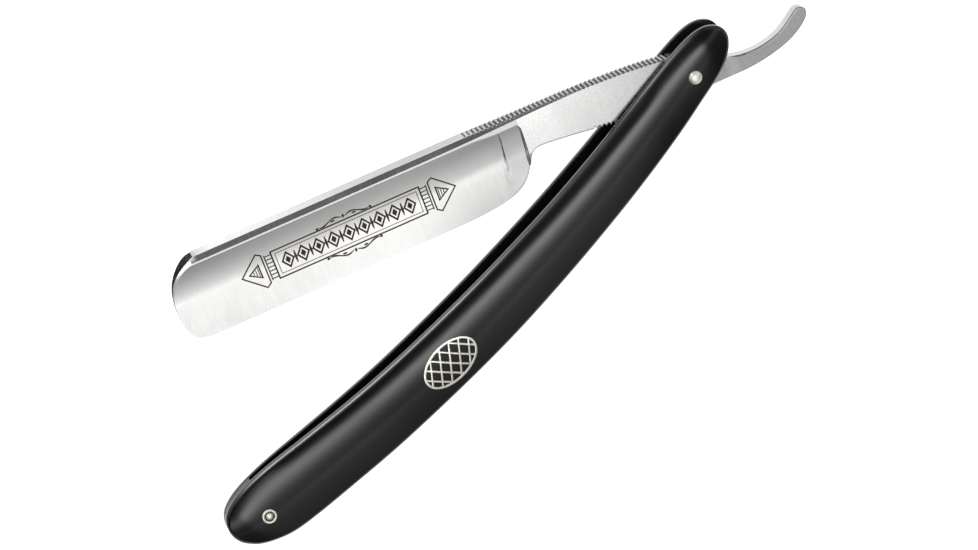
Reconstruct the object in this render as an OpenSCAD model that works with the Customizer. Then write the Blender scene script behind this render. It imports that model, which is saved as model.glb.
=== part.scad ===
// Straight razor: a hollow-ground steel blade that folds into a pair of bowed black scales.
// The razor lies on its back scale. X runs along the handle from the wedge pin to the pivot pin,
// Y points out of the slot on the side of the spine, Z goes through both scales.

/* [Handle] */
// Distance between the wedge pin and the pivot pin
pin_span = 122.3; // [121.5:0.1:123]
// Thickness of one scale at its crown
scale_t = 2.5; // [2.3:0.1:2.8]
// Height of the square edge of a scale
edge_t = 1.0; // [0.8:0.1:1.2]
// Width of the small bevel above that edge
bevel_w = 0.5; // [0.3:0.1:0.6]
// Thickness of the wedge at its inner end
wedge_t = 1.7; // [1.4:0.1:2]
// Width of the slot at the pivot
slot_pivot = 4.9; // [4.8:0.1:5.3]

/* [Blade] */
// Angle between the blade and the handle as it lies
blade_open = 23.7; // [10:0.1:170]
// Thickness of the spine at its widest
spine_t = 4.8; // [4.4:0.1:5]
// Width of the flat on top of the spine
spine_top = 3.8; // [3:0.1:4.2]
// Thickness of the blade at the cutting edge
edge_land = 0.12; // [0.1:0.02:0.3]
// Thickness of the tang
tang_t = 4.2; // [3.8:0.1:4.3]
// Thickness of the tail
tail_t = 2.8; // [2.4:0.1:3.2]
// Distance between two notches of the grip
notch_pitch = 0.95; // [0.9:0.05:1.2]
// Radius of one notch
notch_r = 0.32; // [0.2:0.02:0.36]

/* [Rivets] */
// Diameter of the pivot pin
pivot_d = 2.0; // [1.6:0.1:2.4]
// Running clearance around the pivot pin
pivot_play = 0.05; // [0.03:0.01:0.08]
// Diameter of the domed heads of the pivot pin
head_d = 2.9; // [2.8:0.1:3.4]
// Height of the domed heads above their seat
head_h = 0.75; // [0.6:0.05:0.9]
// Diameter of the wedge pin
wedge_pin_d = 1.4; // [1.2:0.1:1.6]
// Diameter of the raised collars on the wedge pin
collar_d = 3.1; // [3:0.1:3.6]

/* [Inlay] */
// Length of the oval badge
inlay_w = 13.2; // [11:0.2:14]
// Width of the oval badge
inlay_h = 8.4; // [7:0.2:8.6]
// Width of the badge's rim
rim_w = 0.55; // [0.4:0.05:0.8]
// Width of the bars of its lattice
bar_w = 0.42; // [0.3:0.02:0.6]
// Depth of the pocket under the crown
pocket_d = 1.2; // [1:0.1:1.4]

/* [Hidden] */

// where the pivot lies in the part's own frame: the base centre of the whole outline is the origin
pivot_at = [52.5, -19.1, 5.45];

// handle outline, from the wedge end to the pivot end: [x, slot side y, belly y]
RIBS = [[-130.5, 1.6, 1.6], [-130.2, 3.3, -0.1], [-129.3, 5, -1.7], [-127.8, 6.3, -3.4], [-125, 7.2, -5.2],
        [-121, 7.5, -6.8], [-115, 7.15, -7.8], [-106, 6, -8.75], [-96, 4.75, -9.7], [-86, 3.8, -10.3],
        [-74, 3.15, -10.75], [-62, 2.85, -10.85], [-50, 2.9, -10.4], [-38, 3.2, -9.6], [-26, 3.95, -8.5],
        [-16, 4.85, -7.3], [-8, 5.65, -6.1], [-2, 6.2, -4.95], [3, 6.45, -3.95], [6.4, 6.2, -2.8],
        [8.7, 5.4, -1.4], [10.1, 4.2, 0], [10.7, 3.2, 1.1], [10.9, 2.1, 2.1]];
// half of the slot's width between the wedge and the pivot: [x, share of the pivot's half width]
BOW = [[-119.8, 0], [-114, 0.14], [-106, 0.36], [-96, 0.6], [-86, 0.77], [-74, 0.92], [-62, 1.04], [-50, 1.16],
       [-38, 1.25], [-26, 1.27], [-16, 1.19], [-9, 1.08], [-3, 1.005], [3, 1], [12, 1]];

// smooth curve through a row of points, in any number of dimensions
function cr(a, b, c, d, t) = 0.5 * (2 * b + (c - a) * t + (2 * a - 5 * b + 4 * c - d) * t * t + (3 * b - a - 3 * c + d) * t * t * t);
function open_curve(p, n) = let (m = len(p) - 1)
    [for (i = [0 : m - 1]) for (k = [0 : n - 1]) cr(p[max(i - 1, 0)], p[i], p[i + 1], p[min(i + 2, m)], k / n), p[m]];
function closed_curve(p, n) = let (m = len(p))
    [for (i = [0 : m - 1]) for (k = [0 : n - 1]) cr(p[(i + m - 1) % m], p[i], p[(i + 1) % m], p[(i + 2) % m], k / n)];

// inner face of a scale, measured from the middle plane
bow_curve = [for (p = open_curve(BOW, 4)) [p[0], p[0] > -20 ? max(1, p[1]) : p[1]]]; // flat where the washers lie
wedge_x = -119.8;
function slot_half(x) = x < wedge_x ? wedge_t / 2 + 0.024 * (x - wedge_x)
    : wedge_t / 2 + (slot_pivot - wedge_t) / 2 * lookup(x, bow_curve);

ribs = open_curve(RIBS, 2);
rib_n = len(ribs) - 1;
loop_n = 2 * rib_n;
outline = [for (j = [0 : loop_n - 1]) j <= rib_n ? [ribs[j][0], ribs[j][1]] : [ribs[loop_n - j][0], ribs[loop_n - j][2]]];
middle = [for (r = ribs) [r[0], (r[1] + r[2]) / 2]];
// the crown's ridge stops short of both ends, so that the ends are domed as well
function ridge_x(x) = x + 3.6 * exp(-(x - RIBS[0][0]) / 3.8) - 3.4 * exp(-(10.9 - x) / 3.6);
ridge = [for (r = ribs) let (x = ridge_x(r[0])) [x, lookup(x, middle)]];
function ridge_of(j) = j <= rib_n ? ridge[j] : ridge[loop_n - j];
CROWN = [0, 0.14, 0.32, 0.52, 0.75];

function ring_point(j, q) = let (o = outline[j], d = ridge_of(j) - o, s = min(0.4, bevel_w / norm(d))) o + d * (s + (1 - s) * q);
function with_z(p, z) = [p[0], p[1], slot_half(p[0]) + z];
function crown_z(q) = edge_t + bevel_w + (scale_t - edge_t - bevel_w) * (1 - (1 - q) * (1 - q));

scale_points = concat(
    [for (p = outline) with_z(p, 0)],
    [for (p = outline) with_z(p, edge_t)],
    [for (q = CROWN) for (j = [0 : loop_n - 1]) with_z(ring_point(j, q), crown_z(q))],
    [for (p = ridge) with_z(p, scale_t)]);
ring_count = 2 + len(CROWN);
function ridge_index(j) = ring_count * loop_n + (j <= rib_n ? j : loop_n - j);
scale_faces = concat(
    [for (i = [0 : rib_n - 1]) for (f = i == 0 ? [[0, loop_n - 1, 1]]
        : i == rib_n - 1 ? [[i, loop_n - i, rib_n]]
        : [[i, loop_n - i, loop_n - i - 1], [i, loop_n - i - 1, i + 1]]) f],
    [for (r = [0 : ring_count - 2]) for (j = [0 : loop_n - 1])
        let (a = r * loop_n + j, b = r * loop_n + (j + 1) % loop_n) each [[a, b, b + loop_n], [a, b + loop_n, a + loop_n]]],
    [for (j = [0 : loop_n - 1])
        let (a = (ring_count - 1) * loop_n + j, b = (ring_count - 1) * loop_n + (j + 1) % loop_n)
        each [[a, b, ridge_index((j + 1) % loop_n)], [a, ridge_index((j + 1) % loop_n), ridge_index(j)]]]);

module scale_blank() polyhedron(points = scale_points, faces = scale_faces, convexity = 6);

pivot_seat = slot_pivot / 2 + scale_t - 0.25;
wedge_seat = slot_half(-pin_span) + scale_t - 0.3;

module scale_bores() {
    translate([0, 0, -1]) cylinder(d = pivot_d + 0.04, h = 12, $fn = 48);
    translate([0, 0, pivot_seat]) cylinder(d = head_d + 0.14, h = 3, $fn = 48);
    translate([-pin_span, 0, -1]) cylinder(d = wedge_pin_d + 0.02, h = 12, $fn = 48);
    translate([-pin_span, 0, wedge_seat]) cylinder(d = collar_d + 0.1, h = 3, $fn = 48);
}

// oval badge with a plain crossed lattice, lying along the middle of the handle
inlay_at = [-74.9, -4.6];
inlay_floor = slot_half(-74.9) + scale_t - pocket_d;
module oval(w, h) polygon([for (a = [0 : 5 : 355]) [w / 2 * cos(a), h / 2 * sin(a)]]);
module badge_outline() {
    difference() {
        oval(inlay_w, inlay_h);
        oval(inlay_w - 2 * rim_w, inlay_h - 2 * rim_w);
    }
    intersection() {
        oval(inlay_w - rim_w, inlay_h - rim_w);
        for (s = [-1, 1]) for (k = [-2 : 2])
            translate([2.6 * k, 0]) rotate(s * 52) square([20, bar_w], center = true);
    }
}

module front_scale() color([0.05, 0.05, 0.05]) translate(pivot_at) difference() {
    scale_blank();
    scale_bores();
    translate([inlay_at[0], inlay_at[1], inlay_floor]) linear_extrude(5) oval(inlay_w, inlay_h);
}

module back_scale() color([0.06, 0.06, 0.06]) translate(pivot_at) mirror([0, 0, 1]) difference() {
    scale_blank();
    scale_bores();
}

module inlay_badge() color([0.86, 0.84, 0.78]) translate(pivot_at) intersection() {
    scale_blank();
    translate([inlay_at[0], inlay_at[1], inlay_floor + 0.5]) linear_extrude(5) badge_outline();
}

module inlay_filler() color([0.03, 0.03, 0.03]) translate(pivot_at) difference() {
    intersection() {
        scale_blank();
        translate([inlay_at[0], inlay_at[1], inlay_floor]) linear_extrude(5) oval(inlay_w, inlay_h);
    }
    translate([inlay_at[0], inlay_at[1], inlay_floor + 0.5]) linear_extrude(6) badge_outline();
}

// wedge: follows the end of the scales and tapers with them
wedge_out = -130.5;
module wedge() color([0.12, 0.12, 0.12]) translate(pivot_at) difference() {
    intersection() {
        linear_extrude(6, center = true) polygon(outline);
        rotate([90, 0, 0]) linear_extrude(40, center = true)
            polygon([[wedge_out - 1, -slot_half(wedge_out - 1)], [wedge_x, -slot_half(wedge_x)],
                     [wedge_x, slot_half(wedge_x)], [wedge_out - 1, slot_half(wedge_out - 1)]]);
    }
    translate([-pin_span, 0, -4]) cylinder(d = wedge_pin_d + 0.02, h = 8, $fn = 48);
}

// domed rivet head on a flat seat, as a cap of a ball
module dome(d, h) {
    r = (d * d / 4 + h * h) / (2 * h);
    rotate_extrude($fn = 48) polygon(concat([[0, 0]], [for (k = [0 : 10]) let (a = asin(d / 2 / r) * (1 - k / 10)) [r * sin(a), r * cos(a) - r + h]]));
}

module pivot_pin() color([0.87, 0.85, 0.8]) translate(pivot_at) {
    cylinder(d = pivot_d, h = 2 * pivot_seat + 0.2, center = true, $fn = 48);
    translate([0, 0, pivot_seat]) dome(head_d, head_h);
    mirror([0, 0, 1]) translate([0, 0, pivot_seat]) dome(head_d, head_h);
}

washer_in = tang_t / 2 + 0.05;
module pivot_washer() translate([0, 0, washer_in]) difference() {
    cylinder(d = 5.2, h = slot_pivot / 2 - washer_in, $fn = 48);
    translate([0, 0, -1]) cylinder(d = pivot_d + 0.04, h = 3, $fn = 48);
}
module pivot_washer_front() color([0.75, 0.62, 0.35]) translate(pivot_at) pivot_washer();
module pivot_washer_back() color([0.75, 0.62, 0.35]) translate(pivot_at) mirror([0, 0, 1]) pivot_washer();

module wedge_pin() color([0.87, 0.85, 0.8]) translate(pivot_at) translate([-pin_span, 0, 0]) {
    cylinder(d = wedge_pin_d, h = 2 * wedge_seat + 0.5, center = true, $fn = 48);
    translate([0, 0, wedge_seat + 0.25]) dome(wedge_pin_d, 0.25);
    mirror([0, 0, 1]) translate([0, 0, wedge_seat + 0.25]) dome(wedge_pin_d, 0.25);
}

module wedge_collar() translate([-pin_span, 0, wedge_seat]) rotate_extrude($fn = 48)
    polygon([[wedge_pin_d / 2 + 0.01, 0], [collar_d / 2, 0], [collar_d / 2, 0.25], [collar_d / 2 - 0.08, 0.38], [collar_d / 2 - 0.25, 0.48],
             [collar_d / 2 - 0.42, 0.46], [collar_d / 2 - 0.55, 0.36], [collar_d / 2 - 0.6, 0.12], [wedge_pin_d / 2 + 0.01, 0.12]]);
module wedge_collar_front() color([0.87, 0.85, 0.8]) translate(pivot_at) wedge_collar();
module wedge_collar_back() color([0.87, 0.85, 0.8]) translate(pivot_at) mirror([0, 0, 1]) wedge_collar();

// blade, drawn along -X from the pivot, spine up: [along, across]
BLADE = [[-104, 7], [-105.7, 6.95], [-107.6, 6.3], [-109.4, 5.1], [-111, 3.4], [-112.1, 1.4], [-112.7, -1],
         [-112.9, -3.5], [-112.6, -6], [-111.9, -8.2], [-110.9, -9.55], [-109.3, -10.2], [-107, -10.35],
         [-100, -10.35], [-80, -10.35], [-60, -10.35], [-55, -10.33], [-50, -10.2], [-45.5, -9.8], [-42, -9.05],
         [-39.4, -7.8], [-37.7, -6.1], [-36.6, -4.2], [-36, -2.6], [-35.4, -1.6], [-34.4, -1.1], [-33, -1],
         [-29, -1.4], [-25, -1.9], [-20, -2.6], [-15, -3.2], [-9, -3.6], [-3, -3.8], [3, -3.85], [8, -3.95],
         [12, -3.85], [16, -3.35], [20, -2.4], [23, -1.15], [25, 0.15], [26.2, 1.35], [26.6, 2.45],
         [26.3, 3.3], [25.3, 3.75], [24.3, 3.5], [22.6, 2.3], [20.5, 0.95], [18, -0.05], [15, -0.6],
         [12, -0.6], [9.5, -0.15], [7, 0.8], [4.5, 2.1], [2, 3.35], [-0.5, 4.3], [-3, 5], [-7, 5.6], [-12, 6.1],
         [-20, 6.55], [-28, 6.8], [-36, 6.9], [-46, 7], [-60, 7], [-80, 7], [-95, 7]];
blade_outline = closed_curve(BLADE, 3);
spine_y = 7;
crest_y = 5.85;
belly_y = -2;
edge_y = -10.35;
belly_t = 0.8;
// a ground hollow between two points of the section, sagging by s
function hollow(a, b, s, n) = [for (k = [0 : n]) let (t = k / n) [a[0] + (b[0] - a[0]) * t, a[1] + (b[1] - a[1]) * t - 4 * s * t * (1 - t)]];
function flip(p) = [for (i = [len(p) - 1 : -1 : 0]) [p[i][0], -p[i][1]]];
function section(sag, mid_t) = let (
    side = concat([[spine_y + 0.2, spine_top / 2]], hollow([crest_y, spine_t / 2], [belly_y, mid_t / 2], sag, 8),
                  [for (k = [1 : 4]) hollow([belly_y, mid_t / 2], [edge_y - 0.2, edge_land / 2], 0.05 * mid_t, 4)[k]]))
    concat(side, flip(side));
body_section = section(0.37, belly_t);
shoulder_section = section(0.28, 1.7);
shoulder_x = -36.2;
stabiliser_x = -40.5;

module along(from, to) translate([from, 0, 0]) rotate([90, 0, 90]) linear_extrude(to - from) children();
module blade_shape() linear_extrude(6, center = true) polygon(blade_outline);

// notches under the thumb on top of the tang, and under the finger below it
top_curve = open_curve([[-48, 7], [-46, 7], [-36, 6.9], [-28, 6.8], [-20, 6.55], [-12, 6.1], [-7, 5.6], [-3, 5]], 6);
under_curve = open_curve([[-25, -1.9], [-20, -2.6], [-15, -3.2], [-9, -3.6], [-3, -3.8]], 6);
module notches() {
    for (k = [0 : floor(44 / notch_pitch)]) let (x = -47 + notch_pitch * k, fade = min(1, 0.35 + k * 0.09))
        translate([x, lookup(x, top_curve) + notch_r * (1.05 - fade), -4]) cylinder(r = notch_r, h = 8, $fn = 24);
    for (k = [0 : 13]) let (x = -22 + notch_pitch * k)
        translate([x, lookup(x, under_curve), -4]) cylinder(r = notch_r, h = 8, $fn = 24);
}

module blade() color([0.78, 0.78, 0.77]) translate(pivot_at) rotate(-blade_open) difference() {
    union() {
        intersection() {
            blade_shape();
            along(-114, shoulder_x - 2) polygon(body_section);
        }
        intersection() {
            linear_extrude(6, center = true) intersection() {
                polygon(blade_outline);
                polygon([[stabiliser_x - 1, -14], [-34.6, -14], [-34.6, -0.9], [shoulder_x, -0.9], [shoulder_x, 9], [stabiliser_x - 1, 9]]);
            }
            along(stabiliser_x, -34.6) polygon(shoulder_section);
        }
        intersection() {
            linear_extrude(6, center = true) intersection() {
                polygon(blade_outline);
                polygon([[shoulder_x - 0.1, -1], [-34.7, -1], [-34.7, -9], [40, -9], [40, 9], [shoulder_x - 0.1, 9]]);
            }
            translate([0, 30, 0]) rotate([90, 0, 0]) linear_extrude(60)
                polygon([[shoulder_x - 0.1, -tang_t / 2], [3, -tang_t / 2], [9.5, -tail_t / 2], [30, -tail_t / 2],
                         [30, tail_t / 2], [9.5, tail_t / 2], [3, tang_t / 2], [shoulder_x - 0.1, tang_t / 2]]);
        }
    }
    notches();
    translate([0, 0, -4]) cylinder(d = pivot_d + 2 * pivot_play, h = 8, $fn = 48);
}

blade();
front_scale();
back_scale();
wedge();
pivot_pin();
pivot_washer_front();
pivot_washer_back();
wedge_pin();
wedge_collar_front();
wedge_collar_back();
inlay_badge();
inlay_filler();
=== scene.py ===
import math

import bmesh
import bpy
import numpy as np
from mathutils import Matrix, Vector
from mathutils.bvhtree import BVHTree


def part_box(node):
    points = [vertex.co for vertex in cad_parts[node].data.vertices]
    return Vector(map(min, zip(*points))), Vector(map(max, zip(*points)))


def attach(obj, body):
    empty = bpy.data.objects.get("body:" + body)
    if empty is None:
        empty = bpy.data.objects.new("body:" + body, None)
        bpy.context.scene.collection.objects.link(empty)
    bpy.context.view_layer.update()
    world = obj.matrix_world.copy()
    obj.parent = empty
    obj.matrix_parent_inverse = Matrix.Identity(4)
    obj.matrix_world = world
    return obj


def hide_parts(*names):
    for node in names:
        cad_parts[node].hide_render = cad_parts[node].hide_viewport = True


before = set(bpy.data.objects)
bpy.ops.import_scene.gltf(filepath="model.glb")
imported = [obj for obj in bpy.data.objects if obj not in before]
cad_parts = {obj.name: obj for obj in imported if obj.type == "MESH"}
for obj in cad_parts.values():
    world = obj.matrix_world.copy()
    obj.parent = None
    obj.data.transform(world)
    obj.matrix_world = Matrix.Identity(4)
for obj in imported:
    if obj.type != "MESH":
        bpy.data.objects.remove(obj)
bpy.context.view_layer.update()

MM = 0.001
PIVOT = np.array([52.5, -19.1, 5.45])  # where the pivot lies in the row frame, in mm
NODE_BOX = {n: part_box(n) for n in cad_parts}


# ---------------------------------------------------------------- curves and helpers
def smooth(t):
    t = np.clip(t, 0.0, 1.0)
    return t * t * (3 - 2 * t)


def spline(a, b, c, d, t):
    return 0.5 * (2 * b + (c - a) * t + (2 * a - 5 * b + 4 * c - d) * t * t + (3 * b - a - 3 * c + d) * t * t * t)


def open_curve(points, n):
    p = np.asarray(points, float)
    m = len(p) - 1
    out = [spline(p[max(i - 1, 0)], p[i], p[i + 1], p[min(i + 2, m)], k / n) for i in range(m) for k in range(n)]
    return np.array(out + [p[m]])


def closed_curve(points, n):
    p = np.asarray(points, float)
    m = len(p)
    return np.array([spline(p[i - 1], p[i], p[(i + 1) % m], p[(i + 2) % m], k / n) for i in range(m) for k in range(n)])


def along(points):
    """Length along a polyline at each of its points."""
    return np.concatenate([[0], np.cumsum(np.linalg.norm(np.diff(points, axis=0), axis=1))])


def at_length(points, s):
    l = along(points)
    return np.stack([np.interp(s, l, points[:, i]) for i in range(points.shape[1])], -1)


def grid_faces(idx, wrap_rows=False, wrap_cols=False, flip=False):
    """Quads over a 2D array of vertex numbers."""
    r, c = idx.shape
    rr = np.arange(r if wrap_rows else r - 1)
    cc = np.arange(c if wrap_cols else c - 1)
    a = idx[np.ix_(rr, cc)]
    b = idx[np.ix_(rr, (cc + 1) % c)]
    d = idx[np.ix_((rr + 1) % r, cc)]
    e = idx[np.ix_((rr + 1) % r, (cc + 1) % c)]
    q = np.stack([a, b, e, d], -1).reshape(-1, 4)
    return q[:, ::-1] if flip else q


def to_mesh(name, verts, faces, merge=0.0003):
    """verts in mm round the pivot. Returns a bmesh in metres in the row frame, doubles merged, normals outward."""
    v = (np.asarray(verts, float) + PIVOT) * MM
    bm = bmesh.new()
    bv = [bm.verts.new(p) for p in v]
    bm.verts.ensure_lookup_table()
    for f in faces:
        ids = []
        for i in f:
            if int(i) not in ids:
                ids.append(int(i))
        if len(ids) > 2:
            try:
                bm.faces.new([bv[i] for i in ids])
            except ValueError:
                pass
    if merge:
        bmesh.ops.remove_doubles(bm, verts=bm.verts, dist=merge * MM)
    bmesh.ops.dissolve_degenerate(bm, edges=bm.edges, dist=1e-7)
    loose = [x for x in bm.verts if not x.link_faces]
    bmesh.ops.delete(bm, geom=loose, context="VERTS")
    bmesh.ops.recalc_face_normals(bm, faces=bm.faces)
    return bm


def new_object(name, bm, sharp=30.0, keep_smooth=None):
    """Turns a bmesh into an object with smooth faces, and sharp edges over an angle."""
    limit = math.radians(sharp)
    for f in bm.faces:
        f.smooth = True
    for e in bm.edges:
        if len(e.link_faces) == 2 and e.calc_face_angle(0.0) > limit and not (keep_smooth and keep_smooth(e)):
            e.smooth = False
    mesh = bpy.data.meshes.new(name)
    bm.to_mesh(mesh)
    bm.free()
    o = bpy.data.objects.new(name, mesh)
    bpy.context.scene.collection.objects.link(o)
    return o


def clip_to(o, *nodes):
    """Keeps a piece's points inside the box of the CAD nodes it stands for."""
    lo = np.min([np.array(NODE_BOX[n][0]) for n in nodes], axis=0)
    hi = np.max([np.array(NODE_BOX[n][1]) for n in nodes], axis=0)
    co = np.empty(len(o.data.vertices) * 3)
    o.data.vertices.foreach_get("co", co)
    co = np.clip(co.reshape(-1, 3), lo, hi)
    o.data.vertices.foreach_set("co", co.ravel())
    o.data.update()


def boolean(o, cutters, operation="DIFFERENCE"):
    for c in cutters:
        m = o.modifiers.new("cut", "BOOLEAN")
        m.operation = operation
        m.solver = "EXACT"
        m.object = c
    bpy.context.view_layer.update()
    dg = bpy.context.evaluated_depsgraph_get()
    mesh = bpy.data.meshes.new_from_object(o.evaluated_get(dg))
    old = o.data
    o.modifiers.clear()
    o.data = mesh
    name = old.name
    bpy.data.meshes.remove(old)
    mesh.name = name
    for c in cutters:
        d = c.data
        bpy.data.objects.remove(c)
        bpy.data.meshes.remove(d)


def cylinder(x, y, z0, z1, rx, ry=None, n=96, taper=0.0):
    """A cutter in mm round the pivot."""
    ry = ry or rx
    a = np.linspace(0, 2 * math.pi, n, endpoint=False)
    lower = np.stack([x + rx * np.cos(a), y + ry * np.sin(a), np.full(n, z0)], 1)
    upper = np.stack([x + (rx + taper) * np.cos(a), y + (ry + taper) * np.sin(a), np.full(n, z1)], 1)
    v = np.concatenate([lower, upper])
    faces = [[i, (i + 1) % n, n + (i + 1) % n, n + i] for i in range(n)] + [list(range(n))[::-1], list(range(n, 2 * n))]
    return new_object("cutter", to_mesh("cutter", v, faces, 0), 30)


def lathe(profile, x, y, n=96, flip_z=False):
    """Closed profile [(r, z)] turned round a vertical axis; points with r 0 sit on the axis."""
    p = np.asarray(profile, float)
    a = np.linspace(0, 2 * math.pi, n, endpoint=False)
    z = -p[:, 1] if flip_z else p[:, 1]
    v = np.stack([x + p[:, 0][None] * np.cos(a)[:, None], y + p[:, 0][None] * np.sin(a)[:, None], np.broadcast_to(z, (n, len(p)))], -1)
    idx = np.arange(n * len(p)).reshape(n, len(p))
    return v.reshape(-1, 3), grid_faces(idx, wrap_rows=True, wrap_cols=True)


def join_parts(parts):
    """Several (verts, faces) lists as one."""
    verts, faces, base = [], [], 0
    for v, f in parts:
        verts.append(np.asarray(v, float))
        faces += [[int(i) + base for i in q] for q in f]
        base += len(v)
    return np.concatenate(verts), faces


def finish_piece(o, body, materials, stands_for=()):
    for m in materials:
        o.data.materials.append(m)
    if stands_for:
        clip_to(o, *stands_for)
        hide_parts(*stands_for)
    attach(o, body)
    return o


# ---------------------------------------------------------------- materials
class Nodes:
    def __init__(self, name):
        self.m = bpy.data.materials.new(name)
        self.m.use_nodes = True
        self.t = self.m.node_tree
        self.t.nodes.clear()
        self.out = self.t.nodes.new("ShaderNodeOutputMaterial")
        self.bsdf = self.t.nodes.new("ShaderNodeBsdfPrincipled")
        self.t.links.new(self.bsdf.outputs[0], self.out.inputs[0])
        self.co = self.t.nodes.new("ShaderNodeTexCoord").outputs["Object"]

    def set(self, **kw):
        for k, v in kw.items():
            self.bsdf.inputs[k.replace("_", " ")].default_value = v

    def link(self, a, b):
        self.t.links.new(a, b)

    def into(self, socket, name):
        self.t.links.new(socket, self.bsdf.inputs[name])

    def mapping(self, rotation=0.0, scale=(1, 1, 1), source=None):
        """Coordinates turned about Z, then stretched."""
        a = self.t.nodes.new("ShaderNodeMapping")
        a.inputs["Rotation"].default_value = (0, 0, rotation)
        self.link(source or self.co, a.inputs["Vector"])
        b = self.t.nodes.new("ShaderNodeMapping")
        b.inputs["Scale"].default_value = scale
        self.link(a.outputs[0], b.inputs["Vector"])
        return b.outputs[0]

    def noise(self, vector, scale, detail=3.0, rough=0.5, distortion=0.0):
        n = self.t.nodes.new("ShaderNodeTexNoise")
        n.inputs["Scale"].default_value = scale
        n.inputs["Detail"].default_value = detail
        n.inputs["Roughness"].default_value = rough
        n.inputs["Distortion"].default_value = distortion
        self.link(vector, n.inputs["Vector"])
        return n.outputs["Fac"]

    def range(self, socket, a, b, c, d):
        n = self.t.nodes.new("ShaderNodeMapRange")
        n.interpolation_type = "SMOOTHSTEP"
        for i, x in zip((1, 2, 3, 4), (a, b, c, d)):
            n.inputs[i].default_value = x
        self.link(socket, n.inputs[0])
        return n.outputs[0]

    def math(self, op, a, b=None):
        n = self.t.nodes.new("ShaderNodeMath")
        n.operation = op
        for i, x in enumerate((a, b)):
            if x is None:
                continue
            if isinstance(x, (int, float)):
                n.inputs[i].default_value = x
            else:
                self.link(x, n.inputs[i])
        return n.outputs[0]

    def mix(self, fac, a, b):
        n = self.t.nodes.new("ShaderNodeMix")
        n.data_type = "RGBA"
        if isinstance(fac, (int, float)):
            n.inputs[0].default_value = fac
        else:
            self.link(fac, n.inputs[0])
        for i, x in ((6, a), (7, b)):
            if isinstance(x, (tuple, list)):
                n.inputs[i].default_value = (*x, 1)
            else:
                self.link(x, n.inputs[i])
        return n.outputs[2]

    def place(self):
        """Position along the blade and towards its spine, in mm from the pivot."""
        sep = self.t.nodes.new("ShaderNodeSeparateXYZ")
        self.link(self.mapping(TURN), sep.inputs[0])
        px, py = PIVOT[0], PIVOT[1]
        u = self.math("SUBTRACT", self.math("MULTIPLY", sep.outputs[0], 1000.0), float(px * math.cos(TURN) - py * math.sin(TURN)))
        v = self.math("SUBTRACT", self.math("MULTIPLY", sep.outputs[1], 1000.0), float(px * math.sin(TURN) + py * math.cos(TURN)))
        return u, v

    def curve(self, socket, stops):
        """A grey value that follows the stops [(position, value), ...]."""
        a, b = stops[0][0], stops[-1][0]
        m = self.t.nodes.new("ShaderNodeMapRange")
        m.inputs[1].default_value, m.inputs[2].default_value = a, b
        self.link(socket, m.inputs[0])
        r = self.t.nodes.new("ShaderNodeValToRGB")
        e = r.color_ramp.elements
        while len(e) > 1:
            e.remove(e[0])
        for i, (x, y) in enumerate(stops):
            k = e[0] if i == 0 else e.new((x - a) / (b - a))
            k.position = (x - a) / (b - a)
            k.color = (y, y, y, 1)
        self.link(m.outputs[0], r.inputs[0])
        return r.outputs[0]

    def times(self, a, b):
        n = self.t.nodes.new("ShaderNodeMix")
        n.data_type = "RGBA"
        n.blend_type = "MULTIPLY"
        n.inputs[0].default_value = 1.0
        self.link(a, n.inputs[6])
        self.link(b, n.inputs[7])
        return n.outputs[2]

    def bump(self, height, strength, distance, normal=None):
        n = self.t.nodes.new("ShaderNodeBump")
        n.inputs["Strength"].default_value = strength
        n.inputs["Distance"].default_value = distance
        self.link(height, n.inputs["Height"])
        if normal is not None:
            self.link(normal, n.inputs["Normal"])
        return n.outputs[0]


TURN = math.radians(23.7)


def steel(name, colour, dark, rough_low, rough_high, line, grain, grain_scale, painted_shade, across=(), speckle=0.90, edge_tint=1.0):
    """Ground steel: fine lines across the blade, a little grain with darker specks, cloudy differences in polish; the
    curves along and across the blade are painted shade and painted reflection brightness.
    """
    n = Nodes(name)
    u, v = n.place()
    lines = n.noise(n.mapping(TURN, (5200, 260, 260)), 1.0, 4.0, 0.6)
    long_lines = n.noise(n.mapping(TURN, (1500, 45, 45)), 1.0, 3.0, 0.55)
    cloud = n.noise(n.co, 90.0, 3.0, 0.55)
    pits = n.noise(n.co, grain_scale, 2.0, 0.6)
    colour_fac = n.math("ADD", n.math("MULTIPLY", n.range(cloud, 0.3, 0.7, 0, 1), 0.6), n.math("MULTIPLY", n.range(long_lines, 0.35, 0.65, 0, 1), 0.4))
    base = n.times(n.mix(colour_fac, dark, colour), n.mix(n.range(pits, 0.3, 0.7, 0, 1), (speckle,) * 3, (1.0, 1.0, 1.0)))
    # painted shade and painted reflection brightness along the blade: the base colour is scaled by this curve
    base = n.times(base, n.curve(u, painted_shade))
    for weight, stops in across:  # shading across the blade, where the weight along it says
        base = n.times(base, n.mix(n.curve(u, weight), (1.0, 1.0, 1.0), n.curve(v, stops)))
    n.into(base, "Base Color")
    rough = n.math("ADD", n.range(cloud, 0.3, 0.7, rough_low, rough_high), n.range(lines, 0.3, 0.7, -0.02, 0.03))
    n.into(rough, "Roughness")
    a = n.bump(lines, line, 0.00002)
    b = n.bump(long_lines, line * 0.6, 0.00003, a)
    n.into(n.bump(pits, grain, 0.00002, b), "Normal")
    n.set(Metallic=1.0, Specular_Tint=(edge_tint, edge_tint, edge_tint, 1))
    return n.m


# painted shade: the hollow darkens towards the heel, its upper part and the land at the nose end are darker, and at the
# heel its lower part darkens towards the edge
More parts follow.
